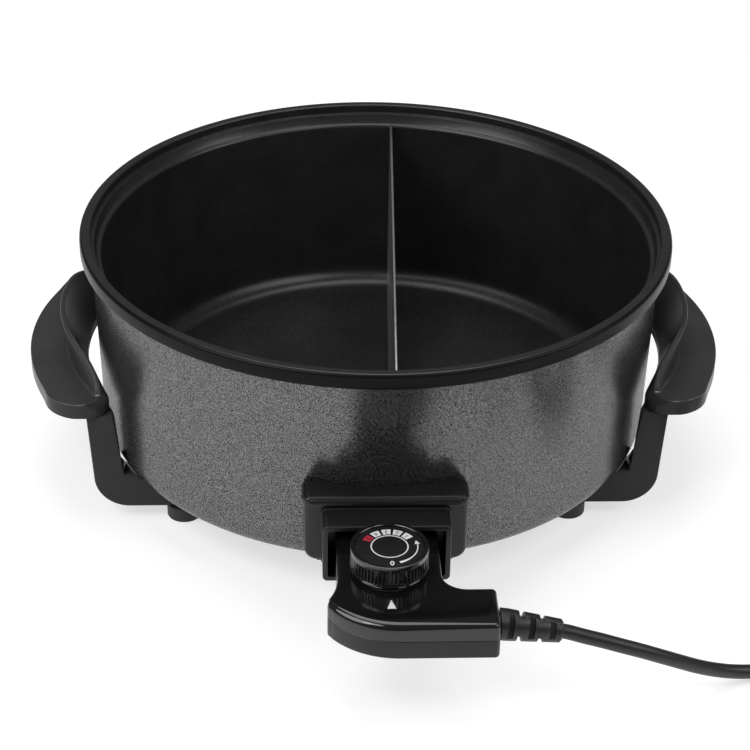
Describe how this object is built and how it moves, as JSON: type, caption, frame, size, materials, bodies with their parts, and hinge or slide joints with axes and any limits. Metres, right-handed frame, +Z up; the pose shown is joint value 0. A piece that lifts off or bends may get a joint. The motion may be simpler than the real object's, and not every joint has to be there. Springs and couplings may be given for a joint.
{
  "type": "electric pan",
  "caption": "Deep round electric pan on short feet, with side handles, a lift-out divider plate and a plug-in thermostat with a dial knob on its mains lead.",
  "frame": {"origin": "on the table, under the middle of the box round the pan with its thermostat, without the cord", "axes": "+Z up; -Y towards the thermostat, which is the front; +X to the right seen from the front"},
  "size_m": [0.4791, 0.3966, 0.14],
  "materials": {
    "pan_coating": "cast, grey textured enamel outside and satin black non-stick inside",
    "divider_steel": "satin",
    "element_sheath": "heat-darkened",
    "plated_steel": "bright plated",
    "contact_brass": "bright",
    "ceramic": "matt",
    "black_moulding": "satin",
    "gloss_black": "gloss",
    "dial_print": "gloss with a printed white scale and one red mark",
    "foot_rubber": "matt",
    "cord_rubber": "satin",
    "plug_black": "satin",
    "nickel_pins": "bright"
  },
  "bodies": {
    "pan": {"pan_shell": "pan_coating", "heating_element": "element_sheath", "element_straps": "plated_steel", "strap_screws": "plated_steel", "terminal_pins": "contact_brass", "terminal_insulators": "ceramic", "socket_hood": "black_moulding", "socket_shroud": "black_moulding", "shroud_screws": "plated_steel", "left_handle": "black_moulding", "right_handle": "black_moulding", "handle_screws": "plated_steel", "front_left_leg": "black_moulding", "front_right_leg": "black_moulding", "rear_left_leg": "black_moulding", "rear_right_leg": "black_moulding", "front_left_foot": "foot_rubber", "front_right_foot": "foot_rubber", "rear_left_foot": "foot_rubber", "rear_right_foot": "foot_rubber", "foot_screws": "plated_steel"},
    "divider": {"divider_plate": "divider_steel"},
    "thermostat": {"lower_case": "black_moulding", "upper_case": "gloss_black", "case_screws": "plated_steel", "probe": "plated_steel", "contact_sleeves": "contact_brass", "switch_block": "ceramic", "bimetal_blade": "contact_brass", "spindle_bush": "contact_brass", "cord_clamp": "plated_steel", "strain_relief": "cord_rubber", "power_cord": "cord_rubber", "cord_coil": "cord_rubber", "plug_lead": "cord_rubber", "cord_tie": "cord_rubber", "mains_plug": "plug_black", "plug_pins": "nickel_pins", "earth_clips": "nickel_pins"},
    "dial": {"knob": "gloss_black", "dial_disc": "dial_print", "knob_spindle": "plated_steel"}
  },
  "joints": [
    {"name": "divider_lift", "type": "slide", "parent": "pan", "child": "divider", "axis": [0, 0, 1], "range_m": [0, 0.12]},
    {"name": "thermostat_pull", "type": "slide", "parent": "pan", "child": "thermostat", "axis": [0, -1, 0], "range_m": [0, 0.06]},
    {"name": "dial_turn", "type": "hinge", "parent": "thermostat", "child": "dial", "pos_m": [0, -0.15465, 0.068], "axis": [0, 0, 1], "range_deg": [0, 270]}
  ]
}
